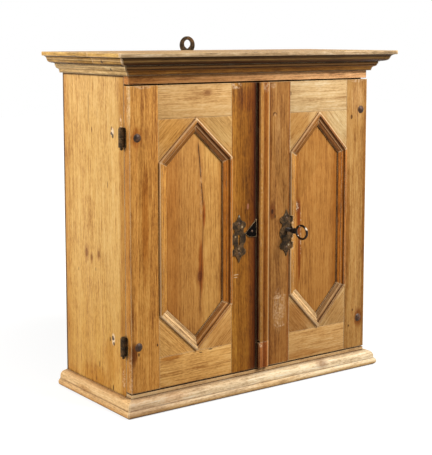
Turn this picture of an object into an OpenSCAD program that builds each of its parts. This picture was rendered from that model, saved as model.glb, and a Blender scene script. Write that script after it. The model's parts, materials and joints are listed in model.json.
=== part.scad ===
// Hanging wall cabinet in softwood: a dovetailed box with two framed doors that lie
// over its front edges, a stepped cornice and a moulded base. Each door has a panel
// framed by six mitred mouldings. Millimetres, +Z up, the front faces -Y, and X = 0 is
// the line where the doors meet. The origin is under the middle of the whole, at the
// height of the underside, with the key's reach counted in.

/* [Case] */
// Width over the two sides
case_w = 574; // [540:1:620]
// Height from the underside to the top
case_h = 661; // [620:1:720]
// Depth from the door faces to the back
case_d = 244; // [220:1:290]
// Thickness of the sides, the top and the bottom
board_t = 18; // [16:1:21]
// Thickness of the back boards
back_t = 12; // [9:1:14]
// Side wood left outside the back boards
side_lip = 8; // [6:1:10]
// How far the back boards lap over each other
back_lap = 8; // [4:1:12]
// Thickness of the shelf
shelf_t = 16; // [12:1:20]
// Height of the shelf's underside
shelf_z = 345; // [250:1:420]
// Shelf's front edge behind the case's front edges
shelf_setback = 24; // [20:1:60]
// Depth of the shelf's housings in the sides
housing_d = 6; // [4:1:9]
// Dovetails at each corner of the box
tail_count = 4; // [3:1:5]
// Width of a dovetail at its wide end
tail_w = 34; // [24:1:36]
// How much a dovetail narrows on each side
tail_taper = 4; // [2:1:6]

/* [Front rails] */
// Height of the rail below the doors
plinth_h = 38; // [35:0.5:44]
// Height of the frieze rail above the doors
frieze_h = 56; // [50:0.5:66]
// Frieze face behind the door faces
frieze_setback = 2; // [0:0.5:5]

/* [Cornice] */
// Height of the upper cornice moulding
crown_h = 22.6; // [21:0.2:28]
// Front length of the left crown, up to the joint with its rear piece
crown_joint = 69; // [60:1:200]
// Reach of the upper cornice moulding
crown_reach = 45; // [43:0.5:52]
// Height of the fillet along the cornice's top edge
crown_fillet = 7.5; // [6:0.5:9]
// Height of the lower cornice moulding
bed_h = 18; // [16:0.5:21]
// Reach of the lower cornice moulding
bed_reach = 17; // [16:0.5:17.5]

/* [Base moulding] */
// Height of the base moulding against the case
base_h = 31; // [29:0.5:34.5]
// Reach of the base moulding
base_reach = 21; // [19:0.5:26]
// Radius of the round along the base moulding's foot
torus_r = 7.5; // [6:0.5:8]

/* [Doors] */
// Thickness of the door frames
door_t = 18; // [16:0.5:21]
// Width of the left door's hinge stile
left_hinge_stile = 61; // [50:1:70]
// Width of the left door's lock stile
left_lock_stile = 59; // [56:1:70]
// Width of the right door's hinge stile
right_hinge_stile = 55; // [48:1:64]
// Width of the right door's lock stile
right_lock_stile = 82; // [81:1:90]
// Height of the top rails
top_rail_h = 61.5; // [52:0.5:70]
// Height of the bottom rails
bottom_rail_h = 59; // [52:0.5:70]
// Panel face behind the door face
panel_recess = 5.5; // [4:0.5:6.5]
// Thickness of the panels
panel_t = 7; // [5:0.5:8]
// Depth of the panel grooves
groove_d = 8; // [6:0.5:11]
// Length of the rail tenons
tenon_l = 36; // [24:1:42]
// Rail height left outside each tenon
tenon_shoulder = 8; // [6:1:14]

/* [Hexagon mouldings] */
// Rise of the hexagon's slanting sides
hex_rise = 78; // [60:1:84]
// Width of the hexagon moulding
hex_w = 20; // [18:0.5:26]
// Height of the hexagon moulding above the door face
hex_proud = 5; // [4:0.5:8]

/* [Meeting strip] */
// Width of the strip on the right door
strip_w = 30; // [27:0.5:34]
// Height of the strip above the door face
strip_proud = 6.5; // [5.5:0.5:9]
// Length of the newer piece at the strip's foot
strip_patch_l = 52; // [40:1:90]
// Size of the chip out of the old strip's lower corner
strip_chip = 6; // [3:1:9]

/* [Hinges] */
// Radius of the hinge barrels
barrel_r = 5.5; // [4.5:0.25:6]
// Length of the hinge barrels
barrel_l = 34; // [30:1:48]
// Radius of the hinge pins
pin_r = 2.6; // [2:0.1:3]
// Thickness of the hinge leaves
leaf_t = 2; // [1.5:0.25:2.5]
// Length of the leaf inside the door
door_leaf_l = 34; // [26:1:42]
// Length of the leaf inside the case side
case_leaf_l = 52; // [46:1:60]
// Lower left hinge above the door's lower edge
left_hinge_low = 86; // [60:1:120]
// Upper left hinge below the door's upper edge
left_hinge_top = 93; // [60:1:140]
// Lower right hinge above the door's lower edge
right_hinge_low = 63; // [50:1:120]
// Upper right hinge below the door's upper edge
right_hinge_top = 62; // [50:1:140]
// Radius of the domed nail heads on the doors
dome_r = 8; // [5:0.5:9]

/* [Lock and key] */
// Keyhole to the line where the doors meet
key_x = 74.5; // [72:0.5:76]
// Keyhole height above the door's lower edge
key_h = 270.5; // [220:0.5:280]
// Middle of the left keyhole plate to the line where the doors meet
plate_x = 43; // [40:0.5:44]
// Middle of the keyhole plates below the key
plate_drop = 7; // [4:0.5:8]
// Half the length of a keyhole plate
plate_half = 47; // [44:0.5:54]
// Thickness of the keyhole plates
plate_t = 1.6; // [1.2:0.1:2.4]
// Radius of the key's shank
shank_r = 3.5; // [2.5:0.25:4]
// Height of the key's oval ring
ring_h = 30; // [26:0.5:34]
// Length of the key's oval ring
ring_l = 36; // [35:0.5:42]
// Radius of the ring's bar
ring_bar_r = 1.9; // [1.4:0.1:2.4]
// Shank length between the door face and the ring
shank_out = 29.5; // [24:0.5:40]
// Reach of the key's bit from the shank's middle
bit_reach = 11; // [10:0.25:11.5]
// Depth of the lock behind the door
lock_d = 14; // [13:0.5:18]
// Width of the lock
lock_w = 96; // [92:1:110]
// Height of the lock above the keyhole
lock_up = 32; // [30:1:44]
// Height of the lock below the keyhole
lock_down = 36; // [16:1:60]
// Lock plate's reach above and below the lock
lock_flange = 10; // [8:1:14]
// Thickness of the lock's iron sheet
sheet_t = 1.6; // [1.2:0.1:2]
// Travel of the lock bolt
bolt_travel = 15; // [12:0.5:16]
// Thickness of the lock bolt
bolt_t = 5; // [4:0.5:6]
// Height of the lock bolt
bolt_w = 16; // [14:0.5:18]

/* [Left door bolt] */
// Distance of the bolt from the line where the doors meet
slide_x = 34; // [26:1:40]
// Width of the bolt bar
slide_w = 10; // [8:0.5:14]
// Thickness of the bolt bar
slide_t = 4; // [3:0.5:6]
// Length of the bolt bar
slide_l = 90; // [76:1:120]
// Travel of the bolt bar
slide_travel = 16; // [14:0.5:18]

/* [Hanging plate] */
// Offset of the plate from the middle
hanger_x = 5; // [-40:1:40]
// Thickness of the plate
hanger_t = 3; // [2:0.5:5]
// Height of the eye's middle above the case
eye_h = 13; // [13:0.5:24]
// Radius of the eye
eye_r = 8.6; // [6:0.2:9]
// Outer radius of the plate's head
head_r = 18.2; // [17:0.2:24]
// Length of the plate below the case's top
hanger_l = 96; // [70:1:140]

/* [Clearances] */
// Between the two doors
meeting_gap = 2; // [1:0.25:4]
// Between the doors and the frieze
top_gap = 2.5; // [1:0.25:5]
// Between the doors and the rail below
bottom_gap = 2; // [1:0.25:4]
// Between the doors' backs and the case
back_gap = 0.5; // [0.3:0.1:1]
// Radial clearance of turning fits
turn_fit = 0.08; // [0.02:0.01:0.1]
// Clearance round sliding iron
slide_fit = 0.3; // [0.2:0.05:0.5]
// Panel edge to the bottom of its groove
panel_play = 1; // [0.5:0.25:2]

/* [Hidden] */
$fn = 48;

pine_side = [0.87, 0.68, 0.41];
pine_case = [0.80, 0.60, 0.36];
pine_stile = [0.70, 0.46, 0.23];
pine_rail = [0.83, 0.65, 0.41];
pine_panel = [0.74, 0.49, 0.25];
pine_mould = [0.85, 0.71, 0.50];
iron = [0.20, 0.17, 0.15];

half_w = case_w / 2;
inner_w = half_w - board_t;
case_front = door_t + back_gap;
back_front = case_d - back_t;
door_w = (case_w - meeting_gap) / 2;
door_z = plinth_h + bottom_gap;
door_h = case_h - frieze_h - top_gap - door_z;
panel_back = panel_recess + panel_t;
key_z = door_z + key_h;
plate_z = key_z - plate_drop;
steps = 6;
eps = 0.01;

ring_y = -shank_out - ring_l / 2;
key_front = ring_y - ring_l / 2;
face_y = -(case_d + key_front) / 2;

pivot_x = -(barrel_r + 0.4);
pivot_y = door_t + back_gap / 2;
knuckle_gap = 0.3;
left_hinges = [left_hinge_low, door_h - left_hinge_top];
right_hinges = [right_hinge_low, door_h - right_hinge_top];
hinge_nail_x = 16;
hinge_nail_r = 2;
case_nail_y = case_front + 44.5;

lock_x0 = 4;
lock_x1 = lock_x0 + lock_w;
lock_low = key_z - lock_down;
lock_high = key_z + lock_up;
lock_nail_xs = [lock_x0 + 10, meeting_gap / 2 + right_lock_stile - 11];
bar_low = key_z + 8;
bar_high = bar_low + bolt_w;
bar_y = door_t + sheet_t + 1.4;
stump_x = 45;
stump_z = bar_high - 5;
stump_r = 2.5;

// Points along an elliptical arc
function arc(cx, cy, rx, ry, a0, a1) =
    [for (i = [0 : steps]) let (a = a0 + (a1 - a0) * i / steps) [cx + rx * cos(a), cy + ry * sin(a)]];

// Left-hand unit normal of the line from a to b
function normal(a, b) = let (d = b - a) [-d[1], d[0]] / norm(d);

// Corner b of an outline, moved d inwards from both of its sides
function inset(a, b, c, d) =
    let (n = normal(a, b), m = normal(b, c)) b + d * (n + m) / (1 + n * m);

// Everything below is drawn with Y = 0 at the door faces
module placed() translate([0, face_y, 0]) children();

module slab(x0, x1, y0, y1, z0, z1) translate([x0, y0, z0]) cube([x1 - x0, y1 - y0, z1 - z0]);

// Flat shape drawn as seen from the front, from y0 back to y1
module upright(y0, y1) translate([0, y1, 0]) rotate([90, 0, 0]) linear_extrude(y1 - y0) children();

// Door parts, drawn with X = 0 at the hinge edge and Z = 0 at the lower edge
module left_door() placed() translate([-half_w, 0, door_z]) children();

module right_door() mirror([1, 0, 0]) left_door() children();

// Nail along +Y from the surface at Y = 0, with a domed head before it
module nail(head, dome, shank, length) {
    curve = (head * head + dome * dome) / (2 * dome);
    rotate([-90, 0, 0]) {
        cylinder(r = shank, h = length);
        intersection() {
            translate([0, 0, curve - dome]) sphere(curve);
            translate([0, 0, -dome]) cylinder(r = head, h = dome);
        }
    }
}

// Nail along +Y whose flat head is flush with the surface
module flush_nail(head, shank, length) {
    rotate([-90, 0, 0]) {
        cylinder(r = shank, h = length);
        cylinder(r = head, h = 1);
    }
}

// Case boards

module tails() {
    pitch = (back_front - case_front) / tail_count;
    for (i = [0 : tail_count - 1]) {
        y = case_front + (i + 0.5) * pitch;
        for (side = [-1, 1]) {
            linear_extrude(board_t) polygon([
                [side * (inner_w - eps), y - tail_w / 2 + tail_taper],
                [side * (inner_w - eps), y + tail_w / 2 - tail_taper],
                [side * half_w, y + tail_w / 2],
                [side * half_w, y - tail_w / 2]
            ]);
        }
    }
}

module tailed_board(z) {
    placed() translate([0, 0, z]) {
        slab(-inner_w, inner_w, case_front, back_front, 0, board_t);
        tails();
    }
}

module shelf_board() {
    slab(-inner_w - housing_d, inner_w + housing_d, case_front + shelf_setback, back_front,
        shelf_z, shelf_z + shelf_t);
}

module side_board(hinges) {
    difference() {
        slab(-half_w, -inner_w, case_front, case_d, 0, case_h);
        slab(-half_w + side_lip, -inner_w + 1, back_front, case_d + 1, -1, case_h + 1);
        tails();
        translate([0, 0, case_h - board_t]) tails();
        shelf_board();
        for (h = hinges) {
            translate([-half_w, 0, door_z + h]) {
                case_leaf();
                case_nail();
            }
        }
    }
}

module side_left() color(pine_side) placed() side_board(left_hinges);

module side_right() color(pine_side) placed() mirror([1, 0, 0]) side_board(right_hinges);

module top_board() color(pine_case) tailed_board(case_h - board_t);

module bottom_board() color(pine_case) tailed_board(0);

module shelf() color(pine_case) placed() shelf_board();

// Back board between two lap joints, whose rear half starts and ends further left
function board_side(x, lap, mid) =
    lap == 0
        ? [[x, back_front], [x, case_d]]
        : [[x + lap, back_front], [x + lap, mid], [x - lap, mid], [x - lap, case_d]];

function reversed(points) = [for (i = [len(points) - 1:-1:0]) points[i]];

module back_board(x0, x1, lap0, lap1) {
    mid = back_front + back_t / 2;
    outline = concat(board_side(x1, lap1, mid), reversed(board_side(x0, lap0, mid)));
    difference() {
        linear_extrude(case_h) polygon(outline);
        back_nails();
        hanger_solid();
        hanger_nails();
    }
}

back_half = half_w - side_lip;
back_joint = back_half / 3;

module back_board_left() color(pine_case) placed() back_board(-back_half, -back_joint, 0, back_lap / 2);

module back_board_middle() {
    color(pine_case) placed() back_board(-back_joint, back_joint, back_lap / 2, back_lap / 2);
}

module back_board_right() color(pine_case) placed() back_board(back_joint, back_half, back_lap / 2, 0);

module frieze_rail() {
    color(pine_rail) placed() slab(-half_w, half_w, frieze_setback, case_front, case_h - frieze_h, case_h);
}

module plinth_rail() color(pine_rail) placed() slab(-half_w, half_w, 0, case_front, 0, plinth_h);

// Mitred mouldings round the front and the two sides

crown_profile = concat(
    [[0, 0], [crown_reach - 25.5, 0], [crown_reach - 25.5, 1]],
    arc(crown_reach - 25, 6.5, 13.5, 5.5, -90, 0),
    arc(crown_reach - 1, 8, 9.5, crown_h - crown_fillet - 8, 180, 90),
    [[crown_reach, crown_h - crown_fillet], [crown_reach, crown_h], [0, crown_h]]
);

bed_profile = concat(
    [[0, 0], [7, 0], [7, 2.5]],
    arc(11.5, 2.5, 4, 5.5, 180, 90),
    arc(11.5, 12.5, bed_reach - 13, 4, -90, 0),
    [[bed_reach - 1.5, 13.5], [bed_reach, 13.5], [bed_reach, bed_h], [0, bed_h]]
);

base_profile = concat(
    [[0, 0]],
    arc(base_reach - torus_r, torus_r, torus_r, torus_r, -90, 60),
    [[base_reach - torus_r + 2.8, torus_r * 1.87 + 0.7]],
    arc(7, torus_r + 11, base_reach - torus_r - 4.2, base_h - torus_r - 12.5, 0, 90),
    [[0, base_h]]
);

// Profile swept along +X from x0 to x1, its reach towards -Y
module run(profile, x0, x1) {
    translate([x0, 0, 0]) rotate([90, 0, 90]) linear_extrude(x1 - x0) mirror([1, 0, 0]) polygon(profile);
}

// Front length, cut to a mitre at both ends
module front_moulding(profile, face, reach, z, height) {
    placed() translate([0, face, z]) intersection() {
        run(profile, -half_w - reach, half_w + reach);
        linear_extrude(height) polygon([
            [-half_w, 0], [-half_w - reach, -reach], [half_w + reach, -reach], [half_w, 0]
        ]);
    }
}

// Left length, mitred at the front and square at the back
module side_moulding(profile, face, reach, z, height) {
    placed() translate([0, 0, z]) intersection() {
        translate([-half_w, case_d, 0]) rotate([0, 0, -90]) run(profile, 0, case_d - face + reach);
        linear_extrude(height) polygon([
            [-half_w, face], [-half_w, case_d], [-half_w - reach, case_d], [-half_w - reach, face - reach]
        ]);
    }
}

module crown(side) {
    z = case_h - crown_h;
    color(pine_mould) {
        if (side == 0) front_moulding(crown_profile, frieze_setback, crown_reach, z, crown_h);
        if (side != 0) {
            mirror([side > 0 ? 1 : 0, 0, 0]) {
                side_moulding(crown_profile, frieze_setback, crown_reach, z, crown_h);
            }
        }
    }
}

// Part of the crown on the left, from Y = a to b
module crown_left(a, b) {
    intersection() {
        crown(-1);
        placed() slab(-half_w - crown_reach - 1, -half_w + 1, a, b, case_h - crown_h - 1, case_h + 1);
    }
}

module bed(side) {
    z = case_h - crown_h - bed_h;
    color(pine_mould) {
        if (side == 0) front_moulding(bed_profile, frieze_setback, bed_reach, z, bed_h);
        if (side != 0) {
            mirror([side > 0 ? 1 : 0, 0, 0]) side_moulding(bed_profile, frieze_setback, bed_reach, z, bed_h);
        }
    }
}

module base(side) {
    color(pine_mould) {
        if (side == 0) front_moulding(base_profile, 0, base_reach, 0, base_h);
        if (side != 0) {
            mirror([side > 0 ? 1 : 0, 0, 0]) side_moulding(base_profile, 0, base_reach, 0, base_h);
        }
    }
}

// Hanging plate

module hanger_outline() {
    translate([0, case_h + eye_h - 2.5]) circle(head_r);
    polygon([
        [-head_r + 3, case_h + 4], [-12, case_h - 24], [-12, case_h - hanger_l + 10],
        [0, case_h - hanger_l], [12, case_h - hanger_l + 10], [12, case_h - 24], [head_r - 3, case_h + 4]
    ]);
}

module hanger_eye() {
    point = eye_r + 2.1;
    touch = acos(eye_r / point);
    translate([0, case_h + eye_h]) {
        circle(eye_r);
        polygon([
            [-eye_r * sin(touch), -eye_r * cos(touch)], [0, -point], [eye_r * sin(touch), -eye_r * cos(touch)]
        ]);
    }
}

module hanger_solid() {
    translate([hanger_x, 0, 0]) upright(case_d - hanger_t, case_d) {
        difference() {
            hanger_outline();
            hanger_eye();
        }
    }
}

module hanger_nails() {
    for (drop = [34, 58, 82]) {
        translate([hanger_x, case_d, case_h - drop * hanger_l / 96]) {
            rotate([0, 0, 180]) flush_nail(4, 1.6, back_t - 0.5);
        }
    }
}

module hanging_plate() {
    color(iron) placed() difference() {
        hanger_solid();
        hanger_nails();
    }
}

// Nails of the case

module back_nails() {
    for (x = [-1.5, -0.5, 0.5, 1.5]) {
        for (z = [board_t / 2, case_h - board_t / 2]) {
            translate([x * back_joint + sign(x) * 24, case_d, z]) {
                rotate([0, 0, 180]) flush_nail(3.2, 1.2, back_t - 0.5);
            }
        }
    }
}

module case_nail() translate([0, case_nail_y, 5]) rotate([0, 0, -90]) flush_nail(3.2, 1.4, board_t - 3);

module case_nails() {
    color(iron) placed() {
        back_nails();
        hanger_nails();
        for (h = left_hinges) translate([-half_w, 0, door_z + h]) case_nail();
        mirror([1, 0, 0]) {
            for (h = right_hinges) translate([-half_w, 0, door_z + h]) case_nail();
        }
    }
}

// Hinges, drawn with X = 0 at the outer face and Z = 0 at the middle of the barrel

module case_leaf() {
    slab(pivot_x, 9, case_front, case_front + leaf_t, -barrel_l / 2, -knuckle_gap / 2);
    slab(9 - leaf_t, 9, case_front, case_front + case_leaf_l, -barrel_l / 2, barrel_l / 2);
}

module case_hinge() {
    difference() {
        union() {
            case_leaf();
            translate([pivot_x, pivot_y, -barrel_l / 2]) {
                cylinder(r = barrel_r, h = (barrel_l - knuckle_gap) / 2);
            }
        }
        translate([pivot_x, pivot_y, -barrel_l]) cylinder(r = pin_r, h = 2 * barrel_l);
        case_nail();
    }
}

module door_leaf() {
    y = pivot_y - barrel_r;
    slab(pivot_x, 1, y, y + leaf_t, knuckle_gap / 2, barrel_l / 2);
    slab(0, door_leaf_l, y, y + leaf_t, -barrel_l / 2, barrel_l / 2);
}

module door_hinge() {
    difference() {
        union() {
            door_leaf();
            translate([pivot_x, pivot_y, knuckle_gap / 2]) {
                cylinder(r = barrel_r, h = (barrel_l - knuckle_gap) / 2);
            }
        }
        translate([pivot_x, pivot_y, -barrel_l]) cylinder(r = pin_r + turn_fit, h = 2 * barrel_l);
        hinge_nail();
    }
}

module hinge_nail() translate([hinge_nail_x, 0, 0]) nail(dome_r, 4, hinge_nail_r, door_t - 1.5);

module hinge_pin() {
    translate([pivot_x, pivot_y, 0]) {
        translate([0, 0, -barrel_l / 2 - 1]) cylinder(r = pin_r, h = barrel_l + 2.4);
        translate([0, 0, -barrel_l / 2 - 2.7]) sphere(2.8);
        translate([0, 0, barrel_l / 2 + 0.4]) cylinder(r = barrel_r - 1.5, h = 1.6);
    }
}

module case_hinges() {
    color(iron) placed() {
        for (h = left_hinges) translate([-half_w, 0, door_z + h]) case_hinge();
        mirror([1, 0, 0]) {
            for (h = right_hinges) translate([-half_w, 0, door_z + h]) case_hinge();
        }
    }
}

module hinge_pins() {
    color(iron) {
        for (h = left_hinges) left_door() translate([0, 0, h]) hinge_pin();
        for (h = right_hinges) right_door() translate([0, 0, h]) hinge_pin();
    }
}

module door_hinges(hinges) color(iron) for (h = hinges) translate([0, 0, h]) door_hinge();

// Door frames

// Groove for the panel along the whole inside of the frame
module panel_groove(x0, x1) {
    slab(x0 - groove_d, x1 + groove_d, panel_recess, panel_back,
        bottom_rail_h - groove_d, door_h - top_rail_h + groove_d);
}

module tenons(x0, x1) {
    for (z = [[tenon_shoulder, bottom_rail_h - groove_d],
              [door_h - top_rail_h + groove_d, door_h - tenon_shoulder]]) {
        slab(x0 - tenon_l, x0 + eps, panel_recess, panel_back, z[0], z[1]);
        slab(x1 - eps, x1 + tenon_l, panel_recess, panel_back, z[0], z[1]);
    }
}

// Stile from x = a to b, in a door whose opening runs from x0 to x1
module stile(a, b, x0, x1) {
    difference() {
        slab(a, b, 0, door_t, 0, door_h);
        panel_groove(x0, x1);
        tenons(x0, x1);
    }
}

module hinge_stile(width, opening_end, hinges) {
    color(pine_stile) difference() {
        stile(0, width, width, opening_end);
        for (h = hinges) {
            translate([0, 0, h]) {
                door_leaf();
                hinge_nail();
            }
        }
    }
}

// Rail between the stiles with a tenon at each end, from z0 to z1
module rail(x0, x1, z0, z1) {
    color(pine_rail) {
        difference() {
            slab(x0, x1, 0, door_t, z0, z1);
            panel_groove(x0, x1);
        }
        intersection() {
            tenons(x0, x1);
            slab(x0 - tenon_l, x1 + tenon_l, 0, door_t, z0, z1);
        }
    }
}

module bottom_rail(x0, x1) rail(x0, x1, 0, bottom_rail_h);

module top_rail(x0, x1) rail(x0, x1, door_h - top_rail_h, door_h);

module panel(x0, x1) {
    edge = groove_d - panel_play;
    color(pine_panel) {
        slab(x0 - edge, x1 + edge, panel_recess, panel_back,
            bottom_rail_h - edge, door_h - top_rail_h + edge);
    }
}

// Outline of the hexagon, anticlockwise from its lower left corner
function hexagon(x0, x1) =
    let (low = bottom_rail_h, high = door_h - top_rail_h, mid = (x0 + x1) / 2) [
        [x0, low + hex_rise], [mid, low], [x1, low + hex_rise],
        [x1, high - hex_rise], [mid, high], [x0, high - hex_rise]
    ];

// Four triangles that fill the corners of the opening, flush with the frame
module spandrels(x0, x1) {
    hex = hexagon(x0, x1);
    tip = 0.5;
    drop = tip * hex_rise / ((x1 - x0) / 2);
    color(pine_rail) upright(0, panel_recess) {
        for (side = [0, 2]) {
            x = hex[side][0];
            to = side == 0 ? -tip : tip;
            polygon([hex[side], [x, hex[1][1]], [hex[1][0] + to, hex[1][1]], hex[1] + [to, drop]]);
            polygon([hex[5 - side], [x, hex[4][1]], [hex[4][0] + to, hex[4][1]], hex[4] + [to, -drop]]);
        }
    }
}

// Raised moulding, from its outer edge inwards and from the panel outwards
hex_profile = concat(
    [[0, -panel_recess], [hex_w, -panel_recess]],
    arc(hex_w - 6, -panel_recess + 1.5, 6, panel_recess - 2.3, 0, 90),
    [[hex_w - 7.5, -0.8]],
    arc(hex_w - 7.5, hex_proud, hex_w - 14, hex_proud - 0.4, -90, -180),
    arc(4.5, hex_proud - 3.5, 4.5, 3.5, 90, 180)
);

// One side of the hexagon, mitred to its neighbours
module hex_side(x0, x1, i) {
    hex = hexagon(x0, x1);
    a = hex[i];
    b = hex[(i + 1) % 6];
    before = hex[(i + 5) % 6];
    after = hex[(i + 2) % 6];
    angle = atan2(b[1] - a[1], b[0] - a[0]);
    intersection() {
        translate([a[0], 0, a[1]]) rotate([0, -angle, 0]) rotate([0, -90, 180]) {
            linear_extrude(norm(b - a)) polygon(hex_profile);
        }
        upright(-hex_proud, panel_recess) {
            polygon([a, b, inset(a, b, after, hex_w), inset(before, a, b, hex_w)]);
        }
    }
}

module hex_sides(x0, x1, sides) color(pine_mould) for (i = sides) hex_side(x0, x1, i);

uprights = [2, 5];
rising = [1, 4];
falling = [0, 3];

// Left door

left_x0 = left_hinge_stile;
left_x1 = door_w - left_lock_stile;

module left_hinge_stile_board() left_door() hinge_stile(left_hinge_stile, left_x1, left_hinges);

module left_lock_stile_board() {
    color(pine_stile) difference() {
        left_door() stile(left_x1, door_w, left_x0, left_x1);
        placed() {
            strike_strap();
            slide_plate_sheet();
            left_plate_nails();
        }
    }
}

module left_top_rail() left_door() top_rail(left_x0, left_x1);

module left_bottom_rail() left_door() bottom_rail(left_x0, left_x1);

module left_panel() left_door() panel(left_x0, left_x1);

module left_spandrels() left_door() spandrels(left_x0, left_x1);

module left_upright_mouldings() left_door() hex_sides(left_x0, left_x1, uprights);

module left_rising_mouldings() left_door() hex_sides(left_x0, left_x1, rising);

module left_falling_mouldings() left_door() hex_sides(left_x0, left_x1, falling);

module left_door_hinges() left_door() door_hinges(left_hinges);

module left_door_nails() {
    color(iron) {
        left_door() for (h = left_hinges) translate([0, 0, h]) hinge_nail();
        placed() left_plate_nails();
    }
}

// Right door

right_x0 = right_hinge_stile;
right_x1 = door_w - right_lock_stile;

module right_hinge_stile_board() right_door() hinge_stile(right_hinge_stile, right_x1, right_hinges);

module right_lock_stile_board() {
    color(pine_stile) difference() {
        right_door() stile(right_x1, door_w, right_x0, right_x1);
        placed() {
            upright(-1, door_t + 1) keyhole(0);
            right_plate_nails();
            lock_nails();
        }
    }
}

module right_top_rail() right_door() top_rail(right_x0, right_x1);

module right_bottom_rail() right_door() bottom_rail(right_x0, right_x1);

// The keyhole is bored through the edge of the panel in its groove too
module right_panel() {
    color(pine_panel) difference() {
        right_door() panel(right_x0, right_x1);
        placed() upright(-1, door_t + 1) keyhole(0);
    }
}

module right_spandrels() right_door() spandrels(right_x0, right_x1);

// The upright by the lock is let in round the keyhole plate
module right_upright_mouldings() {
    color(pine_mould) difference() {
        right_door() hex_sides(right_x0, right_x1, uprights);
        placed() upright(-hex_proud - 1, 0) translate([key_x, plate_z]) plate_outline(slide_fit);
    }
}

module right_rising_mouldings() right_door() hex_sides(right_x0, right_x1, rising);

module right_falling_mouldings() right_door() hex_sides(right_x0, right_x1, falling);

module right_door_hinges() right_door() door_hinges(right_hinges);

module right_door_nails() {
    color(iron) {
        right_door() for (h = right_hinges) translate([0, 0, h]) hinge_nail();
        placed() {
            right_plate_nails();
            lock_nails();
        }
    }
}

// Meeting strip, from its left edge to the right and from the door face outwards

strip_profile = concat(
    [[0, 0]],
    arc(3, strip_proud - 2.5, 3, 2.5, 180, 90),
    [[13, strip_proud - 1], [14, strip_proud - 3.6]],
    arc(20.5, strip_proud - 4.5, 5, 4.5, 150, 0),
    [[strip_w - 2.6, 1.4], [strip_w, 1.2], [strip_w, 0]]
);

module strip(z0, z1) {
    placed() translate([meeting_gap / 2, 0, door_z + z0]) {
        linear_extrude(z1 - z0) mirror([0, 1, 0]) polygon(strip_profile);
    }
}

module meeting_strip() {
    color(pine_stile) difference() {
        strip(strip_patch_l, door_h);
        placed() translate([meeting_gap / 2, 0, door_z + strip_patch_l]) upright(-strip_proud - 1, 1) {
            polygon([
                [-1, -1], [strip_chip * 0.7, -1], [strip_chip * 0.5, strip_chip * 0.6], [-1, strip_chip]
            ]);
        }
    }
}

module meeting_strip_patch() color(pine_rail) strip(0, strip_patch_l);

// Keyhole plates

// Lobed outline about the plate's middle, made larger by grow
module plate_outline(grow = 0) {
    circle(16.4 + grow);
    square([21 + 2 * grow, 2 * plate_half - 42], center = true);
    for (turn = [0, 180]) {
        rotate(turn) {
            translate([0, plate_half - 19]) circle(9.5 + grow);
            for (x = [-9.3, 9.3]) translate([x, plate_half - 21]) circle(7 + grow);
            polygon([
                [-5.5 - grow, plate_half - 12], [5.5 + grow, plate_half - 12], [0, plate_half + grow]
            ]);
        }
    }
}

// Keyhole about the key, with its slot below
module keyhole(grow) {
    translate([key_x, key_z]) {
        circle(shank_r + 0.8 + grow);
        translate([-2.2 - grow, -bit_reach - 1.4 - grow]) square([4.4 + 2 * grow, bit_reach]);
    }
}

module plate_nails(x, drops) {
    for (z = drops) {
        translate([x, -plate_t, plate_z + z]) nail(2.8, 1.5, 1.2, 11);
    }
}

module right_plate_nails() plate_nails(key_x, [plate_half - 18, -plate_half + 18]);

module left_plate_nails() {
    plate_nails(-plate_x, [plate_half - 18, -plate_half + 18]);
    translate([-12, -plate_t, plate_z + 12]) nail(2.2, 1, 1, 11);
    for (z = [strap_low + 6, strap_high - 6]) {
        translate([-27, door_t + sheet_t, z]) rotate([0, 0, 180]) nail(2.4, 1, 1, 6);
    }
}

module right_keyhole_plate() {
    color(iron) placed() difference() {
        upright(-plate_t, 0) {
            difference() {
                translate([key_x, plate_z]) plate_outline();
                keyhole(0);
            }
        }
        right_plate_nails();
    }
}

module left_keyhole_plate() {
    color(iron) placed() difference() {
        upright(-plate_t, 0) translate([-plate_x, plate_z]) {
            difference() {
                plate_outline();
                translate([-1.9, -13]) square([3.8, 18]);
                translate([0, 5]) circle(3.2);
            }
        }
        left_plate_nails();
    }
}

// Iron strap folded round the left door's meeting edge, with a keeper for the bolt

strike_x = -meeting_gap / 2;
strap_low = plate_z;
strap_high = key_z + 40;

module strike_strap() {
    upright(-plate_t, 0) {
        polygon([
            [strike_x, plate_z], [strike_x, plate_z + 34], [strike_x - 27.3, plate_z + 9],
            [strike_x - 18, plate_z + 1]
        ]);
    }
    slab(strike_x - sheet_t, strike_x, -eps, door_t + eps, plate_z, bar_high + slide_fit + 2.5);
    slab(strike_x - 33, strike_x, door_t, door_t + sheet_t, strap_low, strap_high);
}

module strike_plate() {
    gap = slide_fit;
    front = bar_y - gap;
    rear = bar_y + bolt_t + gap;
    color(iron) placed() difference() {
        union() {
            strike_strap();
            slab(strike_x - 16, strike_x - 5, door_t + sheet_t - eps, rear + 2,
                bar_low - gap - 2, bar_high + gap + 2);
        }
        slab(strike_x - 40, strike_x + 1, front, rear, bar_low - gap, bar_high + gap);
        left_plate_nails();
    }
}

// Bolt that holds the left door, inside its lower corner

slide_bottom = door_z + 6;
slide_y = case_front + slide_fit;
slide_back = slide_y + slide_t;

module slide_plate_sheet() {
    slab(-slide_x - slide_w / 2 - 5, -slide_x + slide_w / 2 + 5, door_t - sheet_t, door_t,
        slide_bottom - 3, slide_bottom + slide_l + 8);
}

module slide_bolt_plate() {
    half = slide_w / 2 + slide_fit;
    color(iron) placed() {
        slide_plate_sheet();
        for (z = [slide_bottom + 6, slide_bottom + slide_l - slide_travel - 24]) {
            difference() {
                slab(-slide_x - half - 2, -slide_x + half + 2,
                    door_t - eps, slide_back + slide_fit + 1.6, z, z + 8);
                slab(-slide_x - half, -slide_x + half, door_t, slide_back + slide_fit, z - 1, z + 9);
            }
        }
    }
}

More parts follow.
